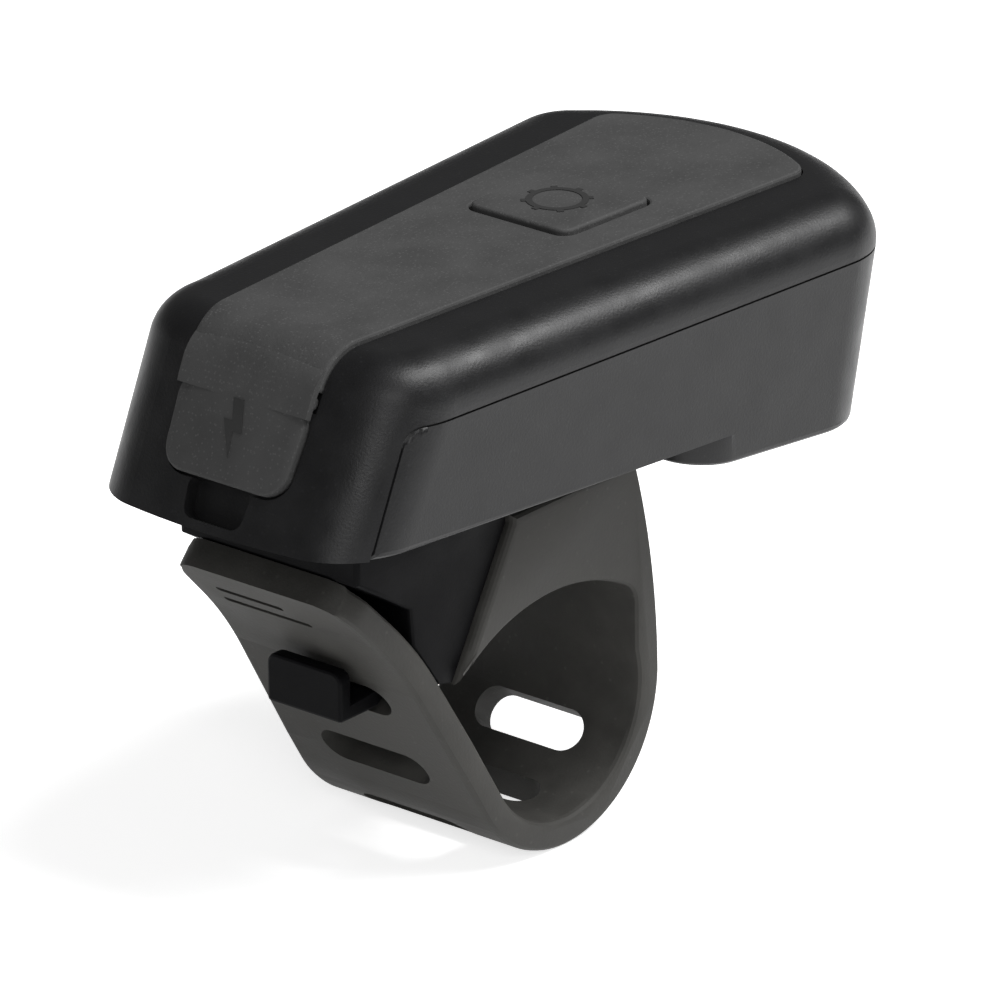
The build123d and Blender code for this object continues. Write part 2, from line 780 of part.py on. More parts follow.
with BuildPart() as tact_switch:
    with Locations((plunger_x, 0, pcb_top_z)):
        Box(switch_side, switch_side, switch_height, align=(Align.CENTER, Align.CENTER, Align.MIN))
    with Locations((plunger_x, 0, stem_low_z - stem_room)):
        Cylinder(stem_r + stem_fit, reach, align=(Align.CENTER, Align.CENTER, Align.MIN), mode=Mode.SUBTRACT)

# Board and what sits on it
with BuildPart() as main_pcb:
    with BuildSketch(Plane.XY.offset(pcb_z)):
        with Locations(((pcb_rear_x + pcb_front_x) / 2, 0)):
            RectangleRounded(pcb_front_x - pcb_rear_x, pcb_half + pcb_half, pcb_corner_r)
    extrude(amount=pcb_thickness)

with BuildPart() as pcb_components:
    add(boxes([(x, y, pcb_top_z, length, width, height)
               for x, y, length, width, height in chip_boxes + chip_boxes_small]))

with BuildPart() as usb_socket:
    with BuildSketch(Plane.YZ.offset(socket_rear_x)):
        with Locations((0, pcb_z - socket_height / 2)):
            RectangleRounded(socket_width, socket_height, socket_corner_r)
    extrude(amount=socket_length)
    with BuildSketch(Plane.YZ.offset(socket_rear_x)):
        with Locations((0, pcb_z - socket_height / 2)):
            RectangleRounded(socket_width - socket_wall - socket_wall, socket_height - socket_wall - socket_wall,
                             socket_corner_r - socket_wall)
    extrude(amount=socket_length - socket_wall, mode=Mode.SUBTRACT)
    with Locations((socket_rear_x + tongue_thickness, 0, pcb_z - socket_height / 2)):
        Box(socket_length - tongue_thickness, socket_width / 2, tongue_thickness,
            align=(Align.MIN, Align.CENTER, Align.CENTER))

with BuildPart() as battery_pack:
    with BuildSketch(Plane.XY.offset(cell_z)):
        with Locations(((cell_rear_x + cell_front_x) / 2, 0)):
            Rectangle(cell_front_x - cell_rear_x, cell_half + cell_half)
    extrude(amount=cell_height)
    fillet(edges().filter_by(Axis.X), cell_edge_r)

with BuildPart() as battery_foam:
    with Locations(((cell_rear_x + cell_front_x) / 2, 0, cell_z)):
        Box(cell_front_x - cell_rear_x - foam_margin - foam_margin, cell_half + cell_half - cell_edge_r * 4,
            foam_thickness, align=(Align.CENTER, Align.CENTER, Align.MAX))


def leads(routes):
    """Round wires swept along filleted runs of points."""
    wires = []
    for route in routes:
        with BuildPart() as wire:
            with BuildLine() as path:
                FilletPolyline(*route, radius=lead_bend_r)
            with BuildSketch(Plane(origin=path.line @ 0, z_dir=path.line % 0)):
                Circle(lead_r)
            sweep()
        wires.append(wire.part)
    return wires


cell_wires = leads([[(cell_rear_x, y, cell_lead_z), (cell_lead_x, y, cell_lead_z), (cell_lead_x, y, pcb_z)]
                    for y in cell_lead_spots])
with BuildPart() as battery_leads:
    for wire in cell_wires:
        add(wire)

# Light source
with BuildPart() as led_board:
    with Locations((led_board_rear_x, 0, led_board_z)):
        Box(led_board_front_x - led_board_rear_x, led_board_half + led_board_half, led_board_thickness,
            align=(Align.MIN, Align.CENTER, Align.MIN))

led_board_top = led_board_z + led_board_thickness
with BuildPart() as led_emitter:
    with Locations((bowl_vertex_x + bowl_focus, 0, led_board_top)):
        Box(emitter_side, emitter_side, emitter_height, align=(Align.CENTER, Align.CENTER, Align.MIN))

with BuildPart() as heat_spreader:
    with Locations((spreader_rear_x, 0, spreader_z)):
        Box(spreader_front_x - spreader_rear_x, spreader_half + spreader_half, led_board_z - spreader_z,
            align=(Align.MIN, Align.CENTER, Align.MIN))

lead_turn = led_board_top + (pcb_z - led_board_top) / 4
led_wires = leads([[(led_lead_pad_x, y, led_board_top), (led_lead_pad_x, y, lead_turn),
                    (led_lead_x, y, lead_turn + lead_bend_r), (led_lead_x, y, pcb_z)] for y in led_lead_spots])
with BuildPart() as led_leads:
    for wire in led_wires:
        add(wire)


def bowl(outset):
    """Half paraboloid round the beam axis, its wall moved out by outset."""
    vertex = bowl_vertex_x - outset
    mouth = math.sqrt(4 * bowl_focus * (bowl_mouth_x - vertex))
    with BuildPart() as half:
        with BuildSketch(Plane.XZ):
            with BuildLine():
                Bezier((vertex, bowl_axis_z), (vertex, bowl_axis_z + mouth / 2),
                       (bowl_mouth_x, bowl_axis_z + mouth))
                Polyline((bowl_mouth_x, bowl_axis_z + mouth), (bowl_mouth_x, bowl_axis_z), (vertex, bowl_axis_z))
            make_face()
        revolve(axis=Axis((0, 0, bowl_axis_z), (1, 0, 0)), revolution_arc=90)
        mirror(about=Plane.XZ)
    return half.part


bowl_wall = common(remains(bowl(bowl_thickness), bowl(0)), front_block(gasket_depth))
flange = common(front_layer(gasket_depth, flange_depth), front_prism(flange_width, flange_height, flange_corner_r))
flange_window = front_prism(window_width, window_height, window_corner_r)
window_cut = remains(flange_window, front_block(flange_depth))
with BuildPart() as reflector:
    add(bowl_wall)
    add(flange)
    add(window_cut, mode=Mode.SUBTRACT)

bezel_layer = common(front_layer(0, bezel_depth), front_prism(
    bezel_width - fit_gap, bezel_height - fit_gap, bezel_corner_r - fit_gap))
with BuildPart() as lens_bezel:
    add(bezel_layer)
    add(flange_window, mode=Mode.SUBTRACT)

with BuildPart() as lens:
    add(common(front_layer(bezel_depth, lens_depth), front_prism(lens_width, lens_height, lens_corner_r)))

gasket_layer = common(front_layer(lens_depth, gasket_depth), front_prism(flange_width, flange_height, flange_corner_r))
with BuildPart() as lens_gasket:
    add(gasket_layer)
    add(flange_window, mode=Mode.SUBTRACT)

nodes = {
    "upper_shell": upper_shell, "lower_shell": lower_shell, "top_pad": top_pad, "usb_flap": usb_flap,
    "power_button": power_button, "button_plunger": button_plunger, "switch_stem": switch_stem,
    "tact_switch": tact_switch, "main_pcb": main_pcb, "pcb_components": pcb_components,
    "usb_socket": usb_socket, "battery_pack": battery_pack, "battery_foam": battery_foam,
    "battery_leads": battery_leads, "led_board": led_board, "led_emitter": led_emitter,
    "led_leads": led_leads, "heat_spreader": heat_spreader, "reflector": reflector, "lens": lens,
    "lens_bezel": lens_bezel, "lens_gasket": lens_gasket, "housing_seal": housing_seal,
    "housing_screws": housing_screws, "base_screws": base_screws, "mount_base": mount_base, "strap": strap,
}
os.makedirs("parts", exist_ok=True)
for name, node in nodes.items():
    node.part.label = name
    export_step(node.part, f"parts/{name}.step")
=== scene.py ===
"""Dressed Blender model of a bike headlight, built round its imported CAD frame.

Lengths are metres in the frame's own axes: origin on the handlebar's axis, +X along the beam,
+Y to the rider's left, +Z up. Sizes given in millimetres are turned to metres by `mm`.
"""

import logging
import math
from dataclasses import dataclass
from enum import Enum

import bmesh
import bpy
from mathutils import Matrix, Vector

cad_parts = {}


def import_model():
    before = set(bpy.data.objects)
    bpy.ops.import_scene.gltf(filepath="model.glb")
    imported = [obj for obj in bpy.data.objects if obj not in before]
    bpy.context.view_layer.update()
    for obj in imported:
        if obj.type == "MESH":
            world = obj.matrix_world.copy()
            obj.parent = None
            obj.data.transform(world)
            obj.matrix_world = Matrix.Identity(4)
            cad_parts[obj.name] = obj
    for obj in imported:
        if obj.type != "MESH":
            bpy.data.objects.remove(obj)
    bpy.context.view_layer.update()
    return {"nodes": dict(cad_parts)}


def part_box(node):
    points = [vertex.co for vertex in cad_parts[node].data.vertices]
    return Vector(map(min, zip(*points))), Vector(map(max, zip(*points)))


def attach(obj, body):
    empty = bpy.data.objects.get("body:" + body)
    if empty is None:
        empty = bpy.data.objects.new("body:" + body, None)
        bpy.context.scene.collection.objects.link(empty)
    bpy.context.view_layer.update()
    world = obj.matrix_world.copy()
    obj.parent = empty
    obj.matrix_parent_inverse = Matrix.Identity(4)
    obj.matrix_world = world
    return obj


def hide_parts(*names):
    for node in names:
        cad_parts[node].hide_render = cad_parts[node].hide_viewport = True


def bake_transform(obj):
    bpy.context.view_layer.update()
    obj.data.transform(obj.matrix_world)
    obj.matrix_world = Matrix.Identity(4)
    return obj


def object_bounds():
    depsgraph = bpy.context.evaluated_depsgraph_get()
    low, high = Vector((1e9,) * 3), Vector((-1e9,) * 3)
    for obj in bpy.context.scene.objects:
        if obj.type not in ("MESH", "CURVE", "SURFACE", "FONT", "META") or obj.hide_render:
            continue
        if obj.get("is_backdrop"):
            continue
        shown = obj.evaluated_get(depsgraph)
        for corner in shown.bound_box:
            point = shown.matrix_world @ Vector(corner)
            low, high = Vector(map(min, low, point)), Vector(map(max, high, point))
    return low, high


LOG = logging.getLogger("bike_headlight")

Colour = tuple[float, float, float]
Spot = tuple[float, float, float]

WHITE: Colour = (1.0, 1.0, 1.0)


def mm(length: float) -> float:
    """Millimetres as metres."""
    return length / 1000.0


class Body(Enum):
    """The rigid bodies that pieces ride on."""

    LIGHT = "headlight"
    BUTTON = "button"
    FLAP = "flap"


# ---------------------------------------------------------------- shader helpers

# Where the Mix node's sockets are when it mixes colours.
MIX_SHARE, MIX_LOW, MIX_HIGH = 0, 6, 7
MIX_RESULT = 2

# The part of its range that a noise mostly keeps to.
NOISE_LOW, NOISE_HIGH = 0.3, 0.7


class Graph:
    """Small builder for one node tree."""

    def __init__(self, tree: bpy.types.NodeTree) -> None:
        """Keeps the tree that nodes are added to.

        Args:
            tree: a material's tree or a node group.
        """
        self.tree = tree

    def node(self, kind: str, **settings: object) -> bpy.types.Node:
        """Adds a node.

        Args:
            kind: Blender's node type name.
            settings: properties to set on the node.

        Returns:
            The new node.
        """
        made = self.tree.nodes.new(kind)
        for name, value in settings.items():
            setattr(made, name, value)
        return made

    def feed(self, source: object, target: bpy.types.NodeSocket) -> None:
        """Links a socket to an input, or sets the input to a plain value.

        Args:
            source: an output socket, a number or a colour.
            target: the input to fill.
        """
        if isinstance(source, bpy.types.NodeSocket):
            self.tree.links.new(source, target)
        elif isinstance(source, tuple) and len(source) == 3 and target.type == "RGBA":
            target.default_value = (*source, 1.0)
        else:
            target.default_value = source

    def math(self, operation: str, first: object, second: object) -> bpy.types.NodeSocket:
        """One Math node.

        Args:
            operation: Blender's name of the operation.
            first: first input.
            second: second input.

        Returns:
            The value socket.
        """
        made = self.node("ShaderNodeMath", operation=operation)
        self.feed(first, made.inputs[0])
        self.feed(second, made.inputs[1])
        return made.outputs[0]

    def blend(self, share: object, low: object, high: object) -> bpy.types.NodeSocket:
        """Mixes two colours.

        Args:
            share: 0 gives low, 1 gives high.
            low: first colour.
            high: second colour.

        Returns:
            The colour socket.
        """
        made = self.node("ShaderNodeMix", data_type="RGBA")
        self.feed(share, made.inputs[MIX_SHARE])
        self.feed(low, made.inputs[MIX_LOW])
        self.feed(high, made.inputs[MIX_HIGH])
        return made.outputs[MIX_RESULT]

    def spread(
        self, value: object, low: float, high: float, to_low: float, to_high: float
    ) -> bpy.types.NodeSocket:
        """Maps a value from one range to another.

        Args:
            value: input.
            low: input's lower end.
            high: input's upper end.
            to_low: result at low.
            to_high: result at high.

        Returns:
            The value socket.
        """
        made = self.node("ShaderNodeMapRange", clamp=True)
        for place, number in enumerate((value, low, high, to_low, to_high)):
            self.feed(number, made.inputs[place])
        return made.outputs[0]

    def from_noise(self, value: object, to_low: float, to_high: float) -> bpy.types.NodeSocket:
        """Maps a noise's usual range to another one.

        Args:
            value: a noise's value.
            to_low: result at the range's lower end.
            to_high: result at its upper end.

        Returns:
            The value socket.
        """
        return self.spread(value, NOISE_LOW, NOISE_HIGH, to_low, to_high)

    def noise(self, where: object, scale: object, detail: float = 2.0) -> bpy.types.NodeSocket:
        """A noise texture's value.

        Args:
            where: coordinates.
            scale: cells per metre.
            detail: octaves.

        Returns:
            The value socket.
        """
        made = self.node("ShaderNodeTexNoise")
        self.feed(where, made.inputs["Vector"])
        self.feed(scale, made.inputs["Scale"])
        made.inputs["Detail"].default_value = detail
        return made.outputs["Fac"]


def new_group(
    name: str, inputs: dict[str, float], outputs: dict[str, str]
) -> tuple[Graph, bpy.types.Node, bpy.types.Node]:
    """Starts a shader node group.

    Args:
        name: the group's name.
        inputs: float inputs with their defaults.
        outputs: output names with their socket types.

    Returns:
        The graph, the group's input node and its output node.
    """
    tree = bpy.data.node_groups.new(name, "ShaderNodeTree")
    for label, value in inputs.items():
        socket = tree.interface.new_socket(label, in_out="INPUT", socket_type="NodeSocketFloat")
        socket.default_value = value
    for label, kind in outputs.items():
        tree.interface.new_socket(label, in_out="OUTPUT", socket_type=kind)
    graph = Graph(tree)
    return graph, graph.node("NodeGroupInput"), graph.node("NodeGroupOutput")


def new_material(name: str) -> tuple[bpy.types.Material, Graph, bpy.types.Node]:
    """Starts a material.

    Args:
        name: the material's name.

    Returns:
        The material, its graph and its surface shader.
    """
    material = bpy.data.materials.new(name)
    material.use_nodes = True
    graph = Graph(material.node_tree)
    return material, graph, graph.tree.nodes["Principled BSDF"]


def scaled(colour: Colour, gain: float) -> Colour:
    """A colour made darker or paler, no paler than white."""
    return tuple(min(channel * gain, 1.0) for channel in colour)


# ---------------------------------------------------------------- finishes

GRAIN_DETAIL = 3.0
TONE_SHARE = 0.07  # the tone's cells per metre, as a share of the grain's
SPECK_CORE, SPECK_RIM = 0.15, 0.45  # a speck is full inside the first and gone at the second


def moulded_grain_group() -> bpy.types.NodeTree:
    """Fine texture that a mould leaves on plastic or rubber.

    Returns:
        A group giving a height, a tone mask and a mask of pale specks.
    """
    graph, given, result = new_group(
        "moulded_grain",
        {"Grain size": 0.0004, "Speck size": 0.0006, "Speck share": 0.1},
        {"Height": "NodeSocketFloat", "Tone": "NodeSocketFloat", "Specks": "NodeSocketFloat"},
    )
    where = graph.node("ShaderNodeTexCoord").outputs["Object"]
    fine = graph.noise(where, graph.math("DIVIDE", 1.0, given.outputs["Grain size"]), GRAIN_DETAIL)
    tone_scale = graph.math("DIVIDE", TONE_SHARE, given.outputs["Grain size"])
    tone = graph.noise(where, tone_scale, GRAIN_DETAIL)
    cells = graph.node("ShaderNodeTexVoronoi", feature="F1")
    graph.feed(where, cells.inputs["Vector"])
    graph.feed(graph.math("DIVIDE", 1.0, given.outputs["Speck size"]), cells.inputs["Scale"])
    picked = graph.node("ShaderNodeSeparateColor")
    graph.feed(cells.outputs["Color"], picked.inputs[0])
    chosen = graph.math("LESS_THAN", picked.outputs[0], given.outputs["Speck share"])
    near = graph.spread(cells.outputs["Distance"], SPECK_CORE, SPECK_RIM, 1.0, 0.0)
    graph.feed(fine, result.inputs["Height"])
    graph.feed(tone, result.inputs["Tone"])
    graph.feed(graph.math("MULTIPLY", chosen, near), result.inputs["Specks"])
    return graph.tree


@dataclass(frozen=True)
class Moulding:
    """A moulded plastic or rubber surface.

    Attributes:
        name: the material's name.
        colour: base colour, linear.
        roughness: mean roughness.
        grain_mm: size of the mould's grain.
        grain_depth: strength of the bump, 0 to 1.
        mottle: how far the tone strays either way.
        speck_mm: size of the pale specks.
        speck_share: share of cells that are specks.
        speck_gain: how much paler a speck is.
        gloss: specular level, where a half is the plain value.
        roughness_stray: how far the roughness strays either way.
        bump_share: height of the grain as a share of its size.
    """

    name: str
    colour: Colour
    roughness: float
    grain_mm: float
    grain_depth: float
    mottle: float
    speck_mm: float = 0.5
    speck_share: float = 0.0
    speck_gain: float = 1.6
    gloss: float = 0.5
    roughness_stray: float = 0.05
    bump_share: float = 0.25

    def build(self, grain: bpy.types.NodeTree) -> bpy.types.Material:
        """Makes the material.

        Args:
            grain: the shared grain group.

        Returns:
            The material.
        """
        material, graph, shader = new_material(self.name)
        texture = graph.node("ShaderNodeGroup", node_tree=grain)
        texture.inputs["Grain size"].default_value = mm(self.grain_mm)
        texture.inputs["Speck size"].default_value = mm(self.speck_mm)
        texture.inputs["Speck share"].default_value = self.speck_share
        dark, pale = scaled(self.colour, 1.0 - self.mottle), scaled(self.colour, 1.0 + self.mottle)
        speck = scaled(self.colour, self.speck_gain)
        tone = graph.from_noise(texture.outputs["Tone"], 0.0, 1.0)
        shade = graph.blend(tone, dark, pale)
        specked = graph.blend(texture.outputs["Specks"], shade, speck)
        graph.feed(specked, shader.inputs["Base Color"])
        smoother = self.roughness - self.roughness_stray
        rougher = self.roughness + self.roughness_stray
        rough = graph.from_noise(texture.outputs["Tone"], smoother, rougher)
        graph.feed(rough, shader.inputs["Roughness"])
        bump = graph.node("ShaderNodeBump")
        bump.inputs["Strength"].default_value = self.grain_depth
        bump.inputs["Distance"].default_value = mm(self.grain_mm) * self.bump_share
        graph.feed(texture.outputs["Height"], bump.inputs["Height"])
        graph.feed(bump.outputs[0], shader.inputs["Normal"])
        shader.inputs["Specular IOR Level"].default_value = self.gloss
        return material


@dataclass(frozen=True)
class Metal:
    """A plain or plated metal surface.

    Attributes:
        name: the material's name.
        colour: base colour, linear.
        roughness: mean roughness.
        streak_mm: width of its fine streaks.
        dim: the darkest streak's share of the colour.
        roughness_stray: share by which the roughness strays either way.
    """

    name: str
    colour: Colour
    roughness: float
    streak_mm: float = 0.3
    dim: float = 0.85
    roughness_stray: float = 0.2

    def build(self, grain: bpy.types.NodeTree) -> bpy.types.Material:
        """Makes the material.

        Args:
            grain: the shared grain group.

        Returns:
            The material.
        """
        material, graph, shader = new_material(self.name)
        shader.inputs["Metallic"].default_value = 1.0
        texture = graph.node("ShaderNodeGroup", node_tree=grain)
        texture.inputs["Grain size"].default_value = mm(self.streak_mm)
        shade = graph.blend(texture.outputs["Tone"], scaled(self.colour, self.dim), self.colour)
        graph.feed(shade, shader.inputs["Base Color"])
        smoother = self.roughness * (1.0 - self.roughness_stray)
        rougher = self.roughness * (1.0 + self.roughness_stray)
        rough = graph.from_noise(texture.outputs["Height"], smoother, rougher)
        graph.feed(rough, shader.inputs["Roughness"])
        return material


@dataclass(frozen=True)
class ClearMoulding:
    """A clear moulded window.

    Attributes:
        name: the material's name.
        colour: tint, linear.
        roughness: roughness where it is clearest.
        ior: index of refraction.
        dim: the darkest part's share of the tint.
        cloud: the haziest part's roughness, as a share of the clearest part's.
    """

    name: str
    colour: Colour
    roughness: float = 0.04
    ior: float = 1.49
    dim: float = 0.96
    cloud: float = 1.5

    def build(self, grain: bpy.types.NodeTree) -> bpy.types.Material:
        """Makes the material.

        Args:
            grain: the shared grain group.

        Returns:
            The material.
        """
        material, graph, shader = new_material(self.name)
        shader.inputs["Transmission Weight"].default_value = 1.0
        shader.inputs["IOR"].default_value = self.ior
        texture = graph.node("ShaderNodeGroup", node_tree=grain)
        shade = graph.blend(texture.outputs["Tone"], scaled(self.colour, self.dim), self.colour)
        graph.feed(shade, shader.inputs["Base Color"])
        rougher = self.roughness * self.cloud
        rough = graph.from_noise(texture.outputs["Tone"], self.roughness, rougher)
        graph.feed(rough, shader.inputs["Roughness"])
        return material


@dataclass(frozen=True)
class CircuitMask:
    """A solder mask with fine tracks under it.

    Attributes:
        name: the material's name.
        colour: the mask's colour, linear.
        track: its colour over a track.
        pitch_mm: distance from track to track.
        roughness: roughness where it is smoothest.
        dull_roughness: roughness where it is dullest.
    """

    name: str
    colour: Colour
    track: Colour
    pitch_mm: float = 1.2
    roughness: float = 0.3
    dull_roughness: float = 0.42

    def build(self, grain: bpy.types.NodeTree) -> bpy.types.Material:
        """Makes the material.

        Args:
            grain: the shared grain group.

        Returns:
            The material.
        """
        material, graph, shader = new_material(self.name)
        tracks = graph.node("ShaderNodeTexBrick")
        graph.feed(graph.node("ShaderNodeTexCoord").outputs["Object"], tracks.inputs["Vector"])
        row = tracks.inputs["Row Height"].default_value
        graph.feed(row / mm(self.pitch_mm), tracks.inputs["Scale"])
        graph.feed(self.colour, tracks.inputs["Color1"])
        graph.feed(self.colour, tracks.inputs["Color2"])
        graph.feed(self.track, tracks.inputs["Mortar"])
        texture = graph.node("ShaderNodeGroup", node_tree=grain)
        graph.feed(tracks.outputs["Color"], shader.inputs["Base Color"])
        rough = graph.from_noise(texture.outputs["Tone"], self.roughness, self.dull_roughness)
        graph.feed(rough, shader.inputs["Roughness"])
        return material


HOUSING = Moulding(
    "housing_texture", (0.0075, 0.0075, 0.008), roughness=0.40, grain_mm=0.30, grain_depth=0.30,
    mottle=0.10, speck_mm=0.45, speck_share=0.10, speck_gain=1.6, gloss=0.3,
)
PAD = Moulding(
    "pad_rubber", (0.050, 0.050, 0.050), roughness=0.70, grain_mm=0.45, grain_depth=0.50,
    mottle=0.14, speck_mm=0.34, speck_share=0.32, speck_gain=1.5, gloss=0.25,
)
FLAP = Moulding(
    "flap_rubber", (0.048, 0.048, 0.048), roughness=0.70, grain_mm=0.45, grain_depth=0.40,
    mottle=0.14, speck_mm=0.34, speck_share=0.26, speck_gain=1.45, gloss=0.25,
)
# Painted shade: the marks are the pad's own rubber, coloured darker here to stand for the shade in
# their engraved edges.
SHADED_MARK = Moulding(
    "mark_painted_shade", (0.030, 0.030, 0.030), roughness=0.6, grain_mm=0.35, grain_depth=0.10,
    mottle=0.06, gloss=0.2,
)
STRAP = Moulding(
    "strap_rubber", (0.041, 0.040, 0.037), roughness=0.60, grain_mm=0.40, grain_depth=0.30,
    mottle=0.18, speck_mm=0.6, speck_share=0.05, speck_gain=1.3, gloss=0.2,
)
BASE = Moulding(
    "base_plastic", (0.0035, 0.0035, 0.004), roughness=0.50, grain_mm=0.30, grain_depth=0.15,
    mottle=0.10, gloss=0.05,
)
SEAL = Moulding(
    "seal_rubber", (0.02, 0.02, 0.02), roughness=0.7, grain_mm=0.30, grain_depth=0.15, mottle=0.10,
)
COMPONENT = Moulding(
    "component_body", (0.02, 0.02, 0.022), roughness=0.35, grain_mm=0.20, grain_depth=0.10,
    mottle=0.10,
)
CELL = Moulding(
    "cell_wrap", (0.35, 0.37, 0.40), roughness=0.28, grain_mm=0.60, grain_depth=0.15, mottle=0.05,
)
FOAM = Moulding(
    "foam", (0.03, 0.03, 0.03), roughness=0.9, grain_mm=0.5, grain_depth=0.9, mottle=0.25,
)
WIRE = Moulding(
    "wire_cover", (0.45, 0.02, 0.02), roughness=0.35, grain_mm=0.2, grain_depth=0.05, mottle=0.05,
)
EMITTER = Moulding(
    "emitter_phosphor", (0.85, 0.72, 0.2), roughness=0.5, grain_mm=0.15, grain_depth=0.1,
    mottle=0.05,
)
STEEL = Metal("plated_steel", (0.55, 0.55, 0.56), roughness=0.3)
SPREADER = Metal("spreader_metal", (0.6, 0.6, 0.62), roughness=0.35)
MIRROR = Metal("reflector_mirror", (0.88, 0.88, 0.89), roughness=0.06)
CLEAR = ClearMoulding("lens_clear", (0.97, 0.98, 1.0))
MASK = CircuitMask("board_mask", (0.015, 0.12, 0.05), track=(0.03, 0.2, 0.09))

Finish = Moulding | Metal | ClearMoulding | CircuitMask

NODE_FINISHES: dict[str, Finish] = {
    "upper_shell": HOUSING,
    "lower_shell": HOUSING,
    "top_pad": PAD,
    "usb_flap": FLAP,
    "power_button": PAD,
    "button_plunger": BASE,
    "switch_stem": BASE,
    "tact_switch": COMPONENT,
    "main_pcb": MASK,
    "pcb_components": COMPONENT,
    "usb_socket": STEEL,
    "battery_pack": CELL,
    "battery_foam": FOAM,
    "battery_leads": WIRE,
    "led_board": MASK,
    "led_emitter": EMITTER,
    "led_leads": WIRE,
    "heat_spreader": SPREADER,
    "reflector": MIRROR,
    "lens": CLEAR,
    "lens_bezel": BASE,
    "lens_gasket": SEAL,
    "housing_seal": SEAL,
    "housing_screws": STEEL,
    "base_screws": STEEL,
    "mount_base": BASE,
    "strap": STRAP,
}


class Finishes:
    """Builds each finish's material once."""

    def __init__(self) -> None:
        """Makes the shared grain group."""
        self.grain = moulded_grain_group()
        self.made: dict[str, bpy.types.Material] = {}

    def material(self, finish: Finish) -> bpy.types.Material:
        """The material of a finish.

        Args:
            finish: the finish wanted.

        Returns:
            Its material, made on first use.
        """
        if finish.name not in self.made:
            self.made[finish.name] = finish.build(self.grain)
        return self.made[finish.name]

    def dress(self, obj: bpy.types.Object, finish: Finish) -> None:
        """Gives an object one finish all over.

        Args:
            obj: a CAD node or a new piece.
            finish: the finish.
        """
        obj.data.materials.clear()
        obj.data.materials.append(self.material(finish))


# ---------------------------------------------------------------- mesh helpers


def linked_object(name: str, data: bpy.types.ID) -> bpy.types.Object:
    """Puts a mesh, a lamp or a camera into the scene.

    Args:
        name: the object's name.
        data: what it shows.

    Returns:
        The object.
    """
    obj = bpy.data.objects.new(name, data)
    bpy.context.scene.collection.objects.link(obj)
    return obj


def finished_object(name: str, mesh: bmesh.types.BMesh) -> bpy.types.Object:
    """Turns a bmesh into an object at the origin.

    Args:
        name: the piece's name.
        mesh: the bmesh, freed here.

    Returns:
        The object, linked to the scene.
    """
    bmesh.ops.recalc_face_normals(mesh, faces=mesh.faces)
    data = bpy.data.meshes.new(name)
    mesh.to_mesh(data)
    mesh.free()
    return linked_object(name, data)


def smooth(obj: bpy.types.Object, sharp_deg: float) -> None:
    """Shades a piece smoothly, with corners over an angle kept sharp.

    Args:
        obj: the piece.
        sharp_deg: least angle of a sharp corner.
    """
    obj.data.shade_smooth()
    obj.data.set_sharp_from_angle(angle=math.radians(sharp_deg))


def add_square(mesh: bmesh.types.BMesh, matrix: Matrix) -> None:
    """Adds a square of side 1, placed and sized by a matrix."""
    bmesh.ops.create_grid(mesh, x_segments=1, y_segments=1, size=0.5, matrix=matrix)


def raise_faces(mesh: bmesh.types.BMesh, step: Vector) -> None:
    """Extrudes all faces of a bmesh.

    Args:
        mesh: a bmesh of flat or curved sheets.
        step: from the sheets to their raised faces.
    """
    raised = bmesh.ops.extrude_face_region(mesh, geom=mesh.faces[:])["geom"]
    tops = [item for item in raised if isinstance(item, bmesh.types.BMVert)]
    bmesh.ops.translate(mesh, verts=tops, vec=step)


def middle_of(edge: bmesh.types.BMEdge) -> Vector:
    """The middle of an edge."""
    return (edge.verts[0].co + edge.verts[1].co) / 2.0


def round_edges(
    mesh: bmesh.types.BMesh, edges: list[bmesh.types.BMEdge], radius_mm: float, segments: int
) -> None:
    """Rounds edges of a bmesh.

    Args:
        mesh: the bmesh.
        edges: edges to round.
        radius_mm: how far the rounding reaches from the corner.
        segments: faces across the rounding.
    """
    bmesh.ops.bevel(
        mesh,
        geom=edges,
        offset=mm(radius_mm),
        offset_type="OFFSET",
        segments=segments,
        profile=0.5,
        affect="EDGES",
        clamp_overlap=False,
        material=-1,
    )


# ---------------------------------------------------------------- pieces

WELD_MM = 0.002  # vertices of a CAD node's mesh that lie closer are one
FLAT_DEG = 0.4  # faces that meet at less are one flat face


@dataclass(frozen=True)
class Zone:
    """A box in millimetres and the rounding of the corners inside it.

    Attributes:
        low: lower corner.
        high: upper corner, with the width measured from the middle plane.
        radius_mm: how far the rounding reaches.
        segments: faces across it.
    """

    low: Spot
    high: Spot
    radius_mm: float
    segments: int = 3

    def holds(self, point: Vector) -> bool:
        """Whether a point in metres lies in the zone, on either side of the middle plane."""
        spot = (point.x, abs(point.y), point.z)
        return all(
            mm(low) <= value <= mm(high) for low, value, high in zip(self.low, spot, self.high)
        )


